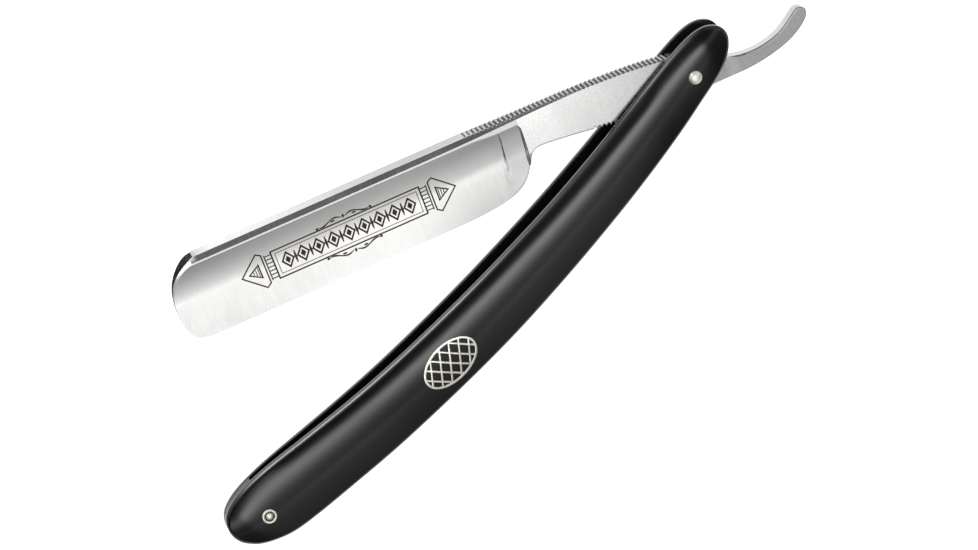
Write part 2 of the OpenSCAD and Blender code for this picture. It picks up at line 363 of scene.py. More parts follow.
STEEL_HOLLOW = steel("steel_hollow", (0.99, 0.99, 0.98), (0.95, 0.95, 0.94), 0.15, 0.18, 0.04, 0.035, 2600.0,
                     [(-113, 1.0), (-60, 1.0), (-48, 0.94), (-42, 0.90), (-36, 0.88)],
                     [([(-113, 1.0), (-36, 1.0)], [(-11, 1.0), (-2.5, 1.0), (1.0, 0.90), (8, 0.88)]),
                      ([(-113, 1.0), (-64, 1.0), (-44, 0.0), (-36, 0.0)], [(-11, 1.0), (5.15, 1.0), (5.4, 0.80), (8, 0.80)]),
                      ([(-113, 0.0), (-66, 0.0), (-48, 1.0), (-36, 1.0)], [(-11, 0.62), (-8, 0.70), (-4, 0.80), (-1, 0.95), (0.5, 1.0), (2.5, 0.97), (4.5, 0.85), (8, 1.0)])], 0.97)
# painted reflection brightness: the facet's colour rises and falls along the blade, darker at the nose and round the
# middle
STEEL_FACET = steel("steel_facet", (0.96, 0.96, 0.95), (0.90, 0.90, 0.89), 0.17, 0.22, 0.06, 0.06, 2600.0,
                    [(-113, 0.77), (-96, 0.85), (-84, 1.0), (-74, 0.88), (-66, 0.75), (-56, 1.0), (-10, 1.0)], (), 0.95)
# painted shade: the nose wall is a dark steel, with darkened reflections at its edges, so that it reads dark
STEEL_NOSE = steel("steel_nose", (0.15, 0.15, 0.15), (0.11, 0.11, 0.11), 0.30, 0.38, 0.10, 0.14, 3000.0,
                   [(-113, 0.7), (-110, 0.8), (-106, 1.0)], (), 0.9, 0.12)
# painted shade: the tang darkens along the blade towards the tail, and its lower part is darker than its upper part
STEEL_SATIN_SHADED = steel("steel_satin_painted_shade", (0.99, 0.99, 0.98), (0.93, 0.93, 0.925), 0.17, 0.23, 0.08, 0.16, 3000.0,
                    [(-37, 1.0), (-32, 0.96), (-28, 0.88), (-24, 0.82), (-20, 0.79), (-12, 0.70), (-6, 0.58), (2, 0.48), (8, 0.43), (11, 0.38), (20, 0.365), (27, 0.39)],
                    [([(-37, 1.0), (6, 1.0), (12, 0.0), (27, 0.0)], [(-4, 0.84), (2, 0.93), (5.5, 1.0), (8, 1.0)])])
# painted shade: the tail's colour is lighter beside the handle and drops to less than half past about 9 mm behind the
# pivot
STEEL_TAIL = steel("steel_tail", (0.99, 0.99, 0.98), (0.90, 0.90, 0.895), 0.31, 0.37, 0.12, 0.26, 2600.0,
                   [(0, 0.90), (8.2, 0.86), (9.3, 0.60), (10.2, 0.43), (14, 0.41), (27, 0.44)], (), 0.84)
# painted shade: the wall round the outline is nearly black at the nose corner, and its brightness rises and falls along
# the spine and tail
STEEL_WALL = steel("steel_spine", (0.99, 0.99, 0.98), (0.92, 0.92, 0.915), 0.26, 0.34, 0.10, 0.14, 3000.0,
                   [(-113, 0.09), (-109, 0.10), (-106.6, 0.16), (-105, 0.55), (-102, 0.80), (-88, 0.70), (-74, 0.54), (-56, 0.46), (-47, 0.48), (-8, 0.48), (4, 0.52), (10, 0.62), (20, 0.60), (27, 0.50)])
# painted shade: the walls of the notches in the jimps are a near-black steel that stands in for their shade
STEEL_NOTCH_SHADE = steel("steel_notch_painted_shade", (0.08, 0.08, 0.08), (0.05, 0.05, 0.05), 0.34, 0.42, 0.20, 0.20, 3200.0,
                   [(-50, 1.0), (-44, 0.75), (-4, 0.7), (0, 0.8)])
# painted shade: the ledges at the heel, and the strip along the tail's top edge, are a darker steel, darker still
# towards the tail
STEEL_LEDGE = steel("steel_ledge", (0.74, 0.74, 0.735), (0.64, 0.64, 0.64), 0.30, 0.36, 0.10, 0.12, 3000.0,
                    [(-45, 1.0), (-38, 1.0), (-34, 0.85), (9, 0.4), (27, 0.4)])


def black_scale():
    n = Nodes("black_scale")
    cloud = n.noise(n.co, 60.0, 3.0, 0.5)
    warm = n.noise(n.mapping(0, (40, 120, 120)), 1.0, 4.0, 0.6)
    scratch = n.noise(n.mapping(0.06, (90, 4200, 4200)), 1.0, 3.0, 0.6)
    scratch2 = n.noise(n.mapping(-0.5, (160, 5200, 5200)), 1.0, 2.0, 0.5)
    fine = n.noise(n.co, 5200.0, 2.0, 0.5)
    base = n.mix(n.range(warm, 0.4, 0.7, 0, 1), (0.0080, 0.0083, 0.0080), (0.0140, 0.0110, 0.0092))
    sep = n.t.nodes.new("ShaderNodeSeparateXYZ")
    n.link(n.co, sep.inputs[0])
    # painted shade: the plastic's colour is scaled down towards the wedge end of the handle, to a few percent at the
    # end
    n.into(n.times(base, n.curve(sep.outputs[0], [(-0.078, 0.06), (-0.055, 0.14), (-0.01, 0.45), (0.02, 0.75), (0.05, 1.0), (0.078, 1.0)])), "Base Color")
    r = n.math("ADD", n.range(cloud, 0.3, 0.7, 0.11, 0.145), n.range(scratch, 0.58, 0.7, 0.0, 0.05))
    n.into(r, "Roughness")
    a = n.bump(scratch, 0.05, 0.00002)
    b = n.bump(scratch2, 0.03, 0.00002, a)
    n.into(n.bump(fine, 0.04, 0.00001, b), "Normal")
    n.set(IOR=1.42)
    return n.m


BLACK = black_scale()


def painted_crease_highlight():
    """Painted highlight along the crease on the slot side of the front scale: greyer than the plastic, most of all on
    its wedge half.
    """
    n = Nodes("scale_edge_painted_highlight")
    edge_noise = n.noise(n.mapping(0, (260, 2600, 2600)), 1.0, 4.0, 0.6)
    sep = n.t.nodes.new("ShaderNodeSeparateXYZ")
    n.link(n.co, sep.inputs[0])
    # painted highlight: a light, streaked grey, strongest on the wedge half and again near the pivot end, faded out at
    # both ends
    base = n.mix(n.range(edge_noise, 0.3, 0.7, 0, 1), (0.80, 0.81, 0.79), (1.0, 1.0, 0.97))
    along_x = n.curve(sep.outputs[0], [(-0.078, 0.004), (-0.071, 0.06), (-0.064, 0.55), (-0.012, 0.50), (0.004, 0.18), (0.02, 0.06), (0.034, 0.06), (0.046, 0.30), (0.053, 0.22), (0.060, 0.004)])
    n.into(n.times(base, along_x), "Base Color")
    n.into(n.range(edge_noise, 0.3, 0.7, 0.22, 0.34), "Roughness")
    n.into(n.bump(edge_noise, 0.15, 0.00002), "Normal")
    n.set(IOR=1.4)
    return n.m


CREASE_HIGHLIGHT = painted_crease_highlight()


def grey_wedge():
    n = Nodes("grey_wedge")
    cloud = n.noise(n.co, 400.0, 4.0, 0.6)
    saw = n.noise(n.mapping(0, (5200, 200, 5200)), 1.0, 3.0, 0.6)
    n.into(n.mix(n.range(cloud, 0.3, 0.7, 0, 1), (0.035, 0.035, 0.036), (0.06, 0.06, 0.062)), "Base Color")
    n.into(n.range(saw, 0.3, 0.7, 0.38, 0.55), "Roughness")
    n.into(n.bump(saw, 0.15, 0.00004), "Normal")
    return n.m


WEDGE = grey_wedge()


def nickel(name, light, dark, rough, mottle, metal=1.0):
    n = Nodes(name)
    spots = n.noise(n.co, 1500.0, 4.0, 0.6, 0.6)
    cloud = n.noise(n.co, 500.0, 2.0, 0.5)
    fine = n.noise(n.co, 6000.0, 2.0, 0.5)
    fac = n.math("MULTIPLY", n.range(spots, 0.35, 0.68, 0, 1), 1.0)
    n.into(n.mix(fac, light, dark), "Base Color")
    n.into(n.math("ADD", n.range(cloud, 0.3, 0.7, rough, rough + 0.08), n.range(spots, 0.4, 0.7, 0.0, 0.12)), "Roughness")
    a = n.bump(spots, mottle, 0.00006)
    n.into(n.bump(fine, 0.1, 0.00001, a), "Normal")
    n.set(Metallic=metal)
    return n.m


NICKEL = nickel("nickel_silver", (1.0, 0.98, 0.88), (0.95, 0.92, 0.80), 0.38, 0.18, 0.80)
# painted shade: a dark nickel for the recess inside each wedge collar's ring
NICKEL_RECESS_SHADE = nickel("nickel_recess_painted_shade", (0.16, 0.15, 0.12), (0.06, 0.055, 0.04), 0.40, 0.35)
NICKEL_INLAY = nickel("nickel_silver_inlay", (0.88, 0.86, 0.79), (0.70, 0.68, 0.58), 0.30, 0.20)
BRASS = nickel("brass", (0.78, 0.60, 0.28), (0.55, 0.38, 0.15), 0.25, 0.2)


def resin():
    n = Nodes("inlay_resin")
    cloud = n.noise(n.co, 700.0, 3.0, 0.5)
    fine = n.noise(n.co, 4000.0, 2.0, 0.5)
    n.into(n.mix(n.range(cloud, 0.3, 0.7, 0, 1), (0.004, 0.004, 0.004), (0.010, 0.009, 0.008)), "Base Color")
    n.into(n.range(cloud, 0.3, 0.7, 0.30, 0.42), "Roughness")
    n.into(n.bump(fine, 0.06, 0.00001), "Normal")
    n.set(IOR=1.35)
    return n.m


RESIN = resin()


def ink():
    n = Nodes("etched_lines")
    spots = n.noise(n.co, 2600.0, 4.0, 0.65)
    cloud = n.noise(n.co, 300.0, 2.0, 0.5)
    a = n.mix(n.range(spots, 0.42, 0.62, 0, 1), (0.030, 0.018, 0.010), (0.105, 0.062, 0.028))
    n.into(n.mix(n.range(cloud, 0.45, 0.75, 0, 0.6), a, (0.045, 0.030, 0.018)), "Base Color")
    n.into(n.range(spots, 0.3, 0.7, 0.5, 0.7), "Roughness")
    n.into(n.bump(spots, 0.3, 0.00003), "Normal")
    n.set(IOR=1.3)
    return n.m


INK = ink()

# ---------------------------------------------------------------- handle shape, as in the CAD source
RIBS = [[-130.5, 1.6, 1.6], [-130.2, 3.3, -0.1], [-129.3, 5, -1.7], [-127.8, 6.3, -3.4], [-125, 7.2, -5.2],
        [-121, 7.5, -6.8], [-115, 7.15, -7.8], [-106, 6, -8.75], [-96, 4.75, -9.7], [-86, 3.8, -10.3],
        [-74, 3.15, -10.75], [-62, 2.85, -10.85], [-50, 2.9, -10.4], [-38, 3.2, -9.6], [-26, 3.95, -8.5],
        [-16, 4.85, -7.3], [-8, 5.65, -6.1], [-2, 6.2, -4.95], [3, 6.45, -3.95], [6.4, 6.2, -2.8],
        [8.7, 5.4, -1.4], [10.1, 4.2, 0], [10.7, 3.2, 1.1], [10.9, 2.1, 2.1]]
BOW = [[-119.8, 0], [-114, 0.14], [-106, 0.36], [-96, 0.6], [-86, 0.77], [-74, 0.92], [-62, 1.04], [-50, 1.16],
       [-38, 1.25], [-26, 1.27], [-16, 1.19], [-9, 1.08], [-3, 1.005], [3, 1], [12, 1]]
PIN_SPAN = 122.3
WEDGE_X = -119.8
bow = open_curve(BOW, 8)
bow[:, 1] = np.where(bow[:, 0] > -20, np.maximum(1, bow[:, 1]), bow[:, 1])


def slot_half(x):
    x = np.asarray(x, float)
    return np.where(x < WEDGE_X, 0.85 + 0.024 * (x - WEDGE_X), 0.85 + 1.6 * np.interp(x, bow[:, 0], bow[:, 1]))


ribs = open_curve(RIBS, 8)
mid = np.stack([ribs[:, 0], (ribs[:, 1] + ribs[:, 2]) / 2], 1)


def ridge_x(x):
    return x + 3.6 * np.exp(-(x + 130.5) / 3.8) - 3.4 * np.exp(-(10.9 - x) / 3.6)


def crown(x, y):
    """Height of the scale's outer face over the middle plane, away from the ends."""
    yu, yl = np.interp(x, ribs[:, 0], ribs[:, 1]), np.interp(x, ribs[:, 0], ribs[:, 2])
    yc, h = (yu + yl) / 2, (yu - yl) / 2
    return slot_half(x) + 2.5 - (np.abs(y - yc) / (h - 0.5)) ** 2


PIVOT_SEAT = 2.45 + 2.25
WEDGE_SEAT = float(slot_half(-PIN_SPAN)) + 2.2
INLAY = (-74.9, -4.6)
INLAY_FLOOR = float(slot_half(-74.9)) + 1.3


def scale_blank():
    """One scale lying on the slot, front side up: flat inside, square edge, small bevel, crown."""
    rn = len(ribs) - 1
    loop = 2 * rn
    j = np.arange(loop)
    k = np.where(j <= rn, j, loop - j)
    outline = np.stack([ribs[k, 0], np.where(j <= rn, ribs[k, 1], ribs[k, 2])], 1)
    rx = ridge_x(ribs[:, 0])
    ridge = np.stack([rx, np.interp(rx, mid[:, 0], mid[:, 1])], 1)
    d = ridge[k] - outline
    length = np.maximum(np.linalg.norm(d, axis=1), 1e-6)
    s = np.minimum(0.4, 0.5 / length)
    rings = []  # (points, height over the inner face)
    for o, z in ((0.07, 0.0), (0.02, 0.02), (0.0, 0.07), (0.0, 0.35), (0.0, 0.65), (0.0, 0.93), (0.015, 0.985), (0.06, 1.045),
                 (0.2, 1.2), (0.35, 1.35), (0.43, 1.42), (0.5, 1.475)):
        rings.append((outline + d * (s * o / 0.5)[:, None], np.full(loop, z)))
    for q in (0.014, 0.035, 0.07, 0.11, 0.16, 0.22, 0.29, 0.37, 0.46, 0.56, 0.67, 0.78, 0.9):
        z = 2.5 - (1 - q) ** 2
        if q == 0.014:
            z -= 0.004
        rings.append((outline + d * (s + (1 - s) * q)[:, None], np.full(loop, z)))
    verts = [np.column_stack([p, slot_half(p[:, 0]) + z]) for p, z in rings]
    n = len(rings)
    v = np.concatenate(verts + [np.column_stack([ridge, slot_half(ridge[:, 0]) + 2.5])])
    idx = np.arange(n * loop).reshape(n, loop)
    faces = [list(f) for f in grid_faces(idx, wrap_cols=True)]
    for a in range(loop):
        b = (a + 1) % loop
        faces.append([idx[n - 1, a], idx[n - 1, b], n * loop + k[b], n * loop + k[a]])
    for i in range(rn):
        lo_a, lo_b = (loop - i) % loop, (loop - i - 1) % loop
        faces.append([idx[0, i], idx[0, i + 1], idx[0, lo_b], idx[0, lo_a]])
    return v, faces


def soft_ends(ref, ln, spread=1.7):
    """Near both ends of a scale the crown's normals are averaged over a millimetre or two, so that it rounds off softly."""
    co = np.array([v.co[:] for v in ref.vertices]) / MM - np.array(PIVOT)
    corner_vert = np.array([l.vertex_index for l in ref.loops])
    over = np.abs(co[:, 2]) - slot_half(co[:, 0])
    area = np.zeros(len(co))
    for f in ref.polygons:
        for i in f.vertices:
            area[i] += f.area
    vn = np.zeros_like(co)
    vn[corner_vert] = ln
    crown = over > 1.5
    at_end = crown & ((co[:, 0] > -16) | (co[:, 0] < 16 - PIN_SPAN))
    w_end = np.maximum(smooth((co[:, 0] + 12) / 7), smooth((12 - PIN_SPAN - co[:, 0]) / 7))
    inwards = 1 - np.sqrt(np.clip(2.5 - over, 0, 1))
    w = w_end * smooth((inwards + 0.02) / 0.09)
    src, todo = np.nonzero(at_end)[0], np.nonzero(at_end & (w > 0))[0]
    soft = ln.copy()
    new = vn.copy()
    for i in todo:
        d2 = ((co[src, :2] - co[i, :2]) ** 2).sum(1)
        m = (vn[src] * (area[src] * np.exp(-d2 / (2 * spread ** 2)))[:, None]).sum(0)
        m = vn[i] * (1 - w[i]) + m / (np.linalg.norm(m) + 1e-12) * w[i]
        new[i] = m / (np.linalg.norm(m) + 1e-12)
    picked = np.isin(corner_vert, todo)
    soft[picked] = new[corner_vert[picked]]
    return soft


def restore_normals(o, reference, limit=0.8):
    """After a cut, faces left from the blank take its own smooth normals again, so that the cut doesn't show as dents."""
    ref = reference.data
    ref.calc_loop_triangles()
    tri = np.array([t.vertices[:] for t in ref.loop_triangles])
    rl = np.array([t.loops[:] for t in ref.loop_triangles])
    co = np.array([v.co[:] for v in ref.vertices])
    ln = soft_ends(ref, np.array([c.vector[:] for c in ref.corner_normals]))
    tree = BVHTree.FromPolygons([tuple(c) for c in co], [tuple(int(i) for i in t) for t in tri])
    me = o.data
    own = [c.vector.copy() for c in me.corner_normals]
    normals = []
    for p in me.polygons:
        pn = p.normal
        for li in p.loop_indices:
            q = me.vertices[me.loops[li].vertex_index].co
            toward = q.lerp(p.center, 0.02)
            hit, hn, ti, dist = tree.find_nearest(toward)
            n = None
            if ti is not None and dist < 4e-6:
                a, b, c = co[tri[ti]]
                ab, ac, ap = b - a, c - a, np.array(hit) - a
                d00, d01, d11, d20, d21 = ab @ ab, ab @ ac, ac @ ac, ap @ ab, ap @ ac
                den = d00 * d11 - d01 * d01
                if abs(den) > 1e-24:
                    w1, w2 = (d11 * d20 - d01 * d21) / den, (d00 * d21 - d01 * d20) / den
                    m = ln[rl[ti]]
                    n = (1 - w1 - w2) * m[0] + w1 * m[1] + w2 * m[2]
                    n /= np.linalg.norm(n) + 1e-12
                    if n @ np.array(pn) < limit:
                        n = None
            normals.append(tuple(n) if n is not None else tuple(pn))
    me.normals_split_custom_set(normals)


def mirror_z(verts):
    return np.asarray(verts) * np.array([1, 1, -1])


def make_scale(name, front):
    v, f = scale_blank()
    if not front:
        v = mirror_z(v)
    blank = new_object(name + "_blank", to_mesh(name, v, f), 34)
    o = new_object(name, to_mesh(name, v, f), 34)
    s = 1 if front else -1

    def bar(x, y, a, b, rx, ry=None, n=96):
        return cylinder(x, y, min(s * a, s * b), max(s * a, s * b), rx, ry, n)

    cutters = [bar(0, 0, -1, 12, 1.02), bar(0, 0, PIVOT_SEAT, 12, 1.52), bar(-PIN_SPAN, 0, -1, 12, 0.71), bar(-PIN_SPAN, 0, WEDGE_SEAT, 12, 1.6)]
    if front:
        cutters.append(bar(*INLAY, INLAY_FLOOR, 12, 6.6, 4.2, 160))
    boolean(o, cutters)
    me = o.data
    for p in me.polygons:
        p.use_smooth = True
    restore_normals(o, blank)
    d = blank.data
    bpy.data.objects.remove(blank)
    bpy.data.meshes.remove(d)
    if front:
        # painted highlight: the front scale's bevel faces along the slot side take the crease highlight colour
        for f in o.data.polygons:
            x = f.center.x / MM - PIVOT[0]
            zz = f.center.z / MM - PIVOT[2] - float(slot_half(x))
            if 1.06 < zz < 1.31 and f.normal.y > 0.3 and f.normal.z > 0.3:
                f.material_index = 1
    return finish_piece(o, "handle", [BLACK, CREASE_HIGHLIGHT] if front else [BLACK], [name])


make_scale("front_scale", True)
make_scale("back_scale", False)


# ---------------------------------------------------------------- wedge
def make_wedge():
    upper = ribs[ribs[:, 0] < WEDGE_X]
    edge = np.array([WEDGE_X, np.interp(WEDGE_X, ribs[:, 0], ribs[:, 1]), np.interp(WEDGE_X, ribs[:, 0], ribs[:, 2])])
    top = np.vstack([upper[:, [0, 1]], edge[[0, 1]]])
    low = np.vstack([upper[:, [0, 2]], edge[[0, 2]]])[::-1]
    # straight inner end, from the upper corner down to the lower one
    end = [[edge[0], y] for y in np.linspace(edge[1], edge[2], 26)[1:-1]]
    path = np.vstack([top, end, low[:-1]])
    centre = path.mean(0)
    d = centre - path
    d /= np.linalg.norm(d, axis=1)[:, None]
    sh = slot_half(path[:, 0]) - 0.005
    rings = []
    for f, inset in ((-1.0, 0.10), (-0.93, 0.05), (-0.8, 0.03), (0.0, 0.02), (0.8, 0.03), (0.93, 0.05), (1.0, 0.10)):
        rings.append(np.column_stack([path + d * inset, sh * f]))
    n, m = len(rings), len(path)
    idx = np.arange(n * m).reshape(n, m)
    faces = [list(q) for q in grid_faces(idx, wrap_cols=True)]
    v = np.concatenate(rings)
    # caps as strips between the two long sides
    nt = len(top)
    for r in (0, n - 1):
        for i in range(nt - 1):
            a, b = idx[r, i], idx[r, i + 1]
            c, e = idx[r, (m - i - 1) % m], idx[r, (m - i) % m]
            faces.append([a, b, c, e])
        faces.append([idx[r, i] for i in range(nt - 1, nt + len(end) + 1)])
    o = new_object("wedge", to_mesh("wedge", v, faces), 35)
    boolean(o, [cylinder(-PIN_SPAN, 0, -4, 4, 0.71)])
    return finish_piece(o, "handle", [WEDGE], ["wedge"])


make_wedge()


# ---------------------------------------------------------------- rivets, collars, washers
def dome_profile(d, h, base, n=18, foot=0.05):
    """Half of a peened head from its rim to its nearly flat top, with a small rounded foot."""
    pts = [(d / 2 - foot * 0.5, base), (d / 2, base + foot * 0.5)]
    for k in range(1, n + 1):
        share = math.sin(math.pi / 2 * (1 - k / n))
        pts.append((d / 2 * share, base + foot * 0.5 + (h - foot * 0.5) * (1 - share ** 3.2)))
    return pts


def make_pin(name, x, shaft, head, base, h, material, stands):
    top = dome_profile(head, h, base)
    if shaft < head / 2:
        half = [(shaft, base)] + top
    else:
        half = top
    lower = [(r, -z) for r, z in half][::-1]
    profile = half[::-1][:0] + lower + half
    v, f = lathe(profile, x, 0, 128)
    o = new_object(name, to_mesh(name, v, f), 40)
    return finish_piece(o, "handle", [material], [stands])


make_pin("pivot_pin", 0, 1.0, 2.9, PIVOT_SEAT, 0.745, NICKEL, "pivot_pin")
make_pin("wedge_pin", -PIN_SPAN, 0.7, 1.4, WEDGE_SEAT + 0.25, 0.25, NICKEL, "wedge_pin")


def make_collar(name, flip):
    r_in, r_out = 0.71, 1.55
    prof = [(r_in, 0.0), (r_out - 0.03, 0.0), (r_out, 0.03), (r_out, 0.22), (r_out - 0.02, 0.30), (r_out - 0.07, 0.38),
            (r_out - 0.15, 0.445), (r_out - 0.25, 0.475), (r_out - 0.34, 0.47), (r_out - 0.43, 0.44), (r_out - 0.5, 0.38),
            (r_out - 0.545, 0.30), (r_out - 0.57, 0.2), (r_out - 0.60, 0.13), (r_out - 0.64, 0.115), (r_in, 0.11)]
    v, f = lathe([(r, z + WEDGE_SEAT) for r, z in prof], -PIN_SPAN, 0, 128, flip)
    o = new_object(name, to_mesh(name, v, f), 40)
    cx, cy = (PIVOT[0] - PIN_SPAN) * MM, PIVOT[1] * MM
    # painted shade: the recess inside the ring takes the dark nickel
    for f in o.data.polygons:
        if math.hypot(f.center.x - cx, f.center.y - cy) < (r_out - 0.52) * MM:
            f.material_index = 1
    return finish_piece(o, "handle", [NICKEL, NICKEL_RECESS_SHADE], [name])


make_collar("wedge_collar_front", False)
make_collar("wedge_collar_back", True)


def make_washer(name, flip):
    a, b, z0, z1, c = 1.02, 2.6, 2.15, 2.45, 0.05
    prof = [(a, z0 + c), (a + c * 0.3, z0 + c * 0.3), (a + c, z0), (b - c, z0), (b - c * 0.3, z0 + c * 0.3), (b, z0 + c),
            (b, z1 - c), (b - c * 0.3, z1 - c * 0.3), (b - c, z1), (a + c, z1), (a + c * 0.3, z1 - c * 0.3), (a, z1 - c)]
    v, f = lathe(prof, 0, 0, 96, flip)
    o = new_object(name, to_mesh(name, v, f), 40)
    return finish_piece(o, "handle", [BRASS], [name])


make_washer("pivot_washer_front", False)
make_washer("pivot_washer_back", True)

# ---------------------------------------------------------------- inlay: oval rim with a crossed lattice, on black resin
def make_inlay():
    cx, cy = INLAY
    parts = []
    a = np.linspace(0, 2 * math.pi, 200, endpoint=False)
    bottom = 0.45
    # rim, across from outside to inside: [inset, height over the crown, or None for the bottom]
    prof = ((0.04, None), (0.04, -0.03), (0.06, 0.0), (0.11, 0.02), (0.2, 0.03), (0.3, 0.034), (0.4, 0.03), (0.49, 0.02), (0.54, 0.0), (0.56, -0.03), (0.56, None))
    rows = []
    for inset, h in prof:
        x, y = cx + (6.6 - inset) * np.cos(a), cy + (4.2 - inset) * np.sin(a)
        z = crown(x, y)
        rows.append(np.column_stack([x, y, z - bottom if h is None else z + h]))
    n, m = len(rows), len(a)
    idx = np.arange(n * m).reshape(n, m)
    parts.append((np.concatenate(rows), grid_faces(idx, wrap_rows=True, wrap_cols=True)))
    # bars, one set a hair lower than the other so that they cross cleanly
    for s, drop in ((1, 0.0), (-1, 0.006)):
        ang = math.radians(52 * s)
        dx, dy = math.cos(ang), math.sin(ang)
        for k in range(-2, 3):
            ox = 2.6 * k
            A, B, C = (dx / 6.2) ** 2 + (dy / 3.8) ** 2, 2 * ox * dx / 6.2 ** 2, (ox / 6.2) ** 2 - 1
            disc = math.sqrt(B * B - 4 * A * C)
            t = np.linspace((-B - disc) / (2 * A), (-B + disc) / (2 * A), 40)
            px, py = cx + ox + t * dx, cy + t * dy
            rows = []
            for w, h in ((-0.21, None), (-0.21, -0.035), (-0.17, -0.004), (-0.1, 0.014), (0.0, 0.022), (0.1, 0.014), (0.17, -0.004), (0.21, -0.035), (0.21, None)):
                x, y = px - dy * w, py + dx * w
                z = crown(x, y) - drop
                rows.append(np.column_stack([x, y, z - bottom if h is None else z + h]))
            n, m = len(rows), len(t)
            idx = np.arange(n * m).reshape(n, m)
            faces = [list(q) for q in grid_faces(idx, wrap_rows=True)]
            faces += [list(idx[:, 0]), list(idx[::-1, -1])]
            parts.append((np.concatenate(rows), faces))
    v, f = join_parts(parts)
    o = new_object("inlay_badge", to_mesh("inlay_badge", v, f), 50)
    finish_piece(o, "handle", [NICKEL_INLAY])
    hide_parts("inlay_badge")
    # resin bed
    radii = np.array([0.0, 0.12, 0.25, 0.38, 0.5, 0.62, 0.74, 0.85, 0.93, 0.98, 1.0])
    rows = []
    for r in radii:
        x, y = cx + 6.57 * r * np.cos(a), cy + 4.17 * r * np.sin(a)
        rows.append(np.column_stack([x, y, crown(x, y) - 0.05 - (0.03 if r == 1.0 else 0.0)]))
    for r in (1.0, 0.5, 0.0):
        x, y = cx + 6.57 * r * np.cos(a), cy + 4.17 * r * np.sin(a)
        rows.append(np.column_stack([x, y, np.full(len(a), INLAY_FLOOR + 0.01)]))
    idx = np.arange(len(rows) * len(a)).reshape(len(rows), len(a))
    o = new_object("inlay_filler", to_mesh("inlay_filler", np.concatenate(rows), grid_faces(idx, wrap_cols=True)), 50)
    return finish_piece(o, "handle", [RESIN], ["inlay_filler"])


make_inlay()

# ---------------------------------------------------------------- blade
BLADE = [[-104, 7], [-105.7, 6.95], [-107.6, 6.3], [-109.4, 5.1], [-111, 3.4], [-112.1, 1.4], [-112.7, -1],
         [-112.9, -3.5], [-112.6, -6], [-111.9, -8.2], [-110.9, -9.55], [-109.3, -10.2], [-107, -10.35],
         [-100, -10.35], [-80, -10.35], [-60, -10.35], [-55, -10.33], [-50, -10.2], [-45.5, -9.8], [-42, -9.05],
         [-39.4, -7.8], [-37.7, -6.1], [-36.6, -4.2], [-36, -2.6], [-35.4, -1.6], [-34.4, -1.1], [-33, -1],
         [-29, -1.4], [-25, -1.9], [-20, -2.6], [-15, -3.2], [-9, -3.6], [-3, -3.8], [3, -3.85], [8, -3.95],
         [12, -3.85], [16, -3.35], [20, -2.4], [23, -1.15], [25, 0.15], [26.2, 1.35], [26.6, 2.45],
         [26.3, 3.3], [25.3, 3.75], [24.3, 3.5], [22.6, 2.3], [20.5, 0.95], [18, -0.05], [15, -0.6],
         [12, -0.6], [9.5, -0.15], [7, 0.8], [4.5, 2.1], [2, 3.35], [-0.5, 4.3], [-3, 5], [-7, 5.6], [-12, 6.1],
         [-20, 6.55], [-28, 6.8], [-36, 6.9], [-46, 7], [-60, 7], [-80, 7], [-95, 7]]
FINE = 16
outline = closed_curve(BLADE, FINE)
i_toe, i_tip = BLADE.index([-107, -10.35]), BLADE.index([26.3, 3.3])
nose_line = outline[: FINE * i_toe + 1]
bottom_line = outline[FINE * i_toe : FINE * i_tip + 1]
top_line = np.vstack([outline[FINE * i_tip :], outline[:1]])[::-1]
CA, SA = math.cos(TURN), math.sin(TURN)


def to_part(u, v, z):
    """From the blade's own axes (along, towards the spine, thickness) to mm round the pivot."""
    u, v, z = np.broadcast_arrays(np.asarray(u, float), np.asarray(v, float), np.asarray(z, float))
    return np.stack([u * CA + v * SA, -u * SA + v * CA, z], -1)


def v_top(u):
    return np.interp(u, np.concatenate([nose_line[: 6 * FINE, 0][::-1], top_line[1:, 0]]), np.concatenate([nose_line[: 6 * FINE, 1][::-1], top_line[1:, 1]]))


def v_bottom(u):
    return np.interp(u, bottom_line[:, 0], bottom_line[:, 1])


def facet_width(u):
    return np.interp(u, [-55, -48, -44, -40, -36, -32, -28, -24, -20, -16], [1.15, 1.08, 1.0, 0.88, 0.73, 0.6, 0.47, 0.3, 0.17, 0.14])


def z_flat(u):
    return 2.4 - 0.3 * smooth((u + 55) / 25.0) - 0.7 * smooth((u - 1.5) / 8.5)


def v_land(u):
    return 5.47 - 0.39 * smooth((u + 47) / 6.5)


def dip(a, za, b, zb, sag, v):
    t = np.clip((a - v) / (a - b), 0, 1)
    return za + (zb - za) * t - 4 * sag * t * (1 - t)


def z_hollow(u, v):
    a, za = v_land(u), z_flat(u)
    return np.where(v > -2, dip(a, za, -2.0, 0.4, 0.37, v), dip(-2.0, 0.4, -10.35, 0.05, 0.035, v))


def z_shoulder(u, v):
    a, za = v_land(u), z_flat(u)
    return np.where(v > -2, dip(a, za, -2.0, 0.66, 0.2, v), dip(-2.0, 0.66, -10.35, 0.05, 0.10, v))


def z_face(U, u, v):
    """Half thickness of the blade. U is the column the point belongs to, straight at the ledges."""
    half1 = np.interp(v, [-7, -2, 1], [1.6, 0.5, 0.14])
    s1 = smooth((U + 40.7 + half1) / (2 * half1))
    s2 = smooth((U + 36.3 + 0.2) / 0.4)
    body = z_hollow(u, v) * (1 - s1) + z_shoulder(u, v) * s1
    tang = z_flat(u) - 1.2 * smooth((-1.2 - v) / 3.4) * (U < -34)
    return np.where(v >= v_land(u), np.where(U > -20, tang, z_flat(u)), body * (1 - s2) + tang * s2)


PITCH, NOTCH = 0.95, 0.32
TOP_NOTCHES = [(-47 + PITCH * k, NOTCH * (1.05 - min(1, 0.35 + 0.09 * k))) for k in range(47)]
UNDER_NOTCHES = [(-22 + PITCH * k, 0.0) for k in range(14)]


def notch(u, centres):
    d = np.zeros_like(u)
    for c, lift in centres:
        x = np.abs(u - c)
        d = np.maximum(d, np.where(x < NOTCH, np.sqrt(np.maximum(NOTCH ** 2 - x ** 2, 0)) - lift, 0))
    return d


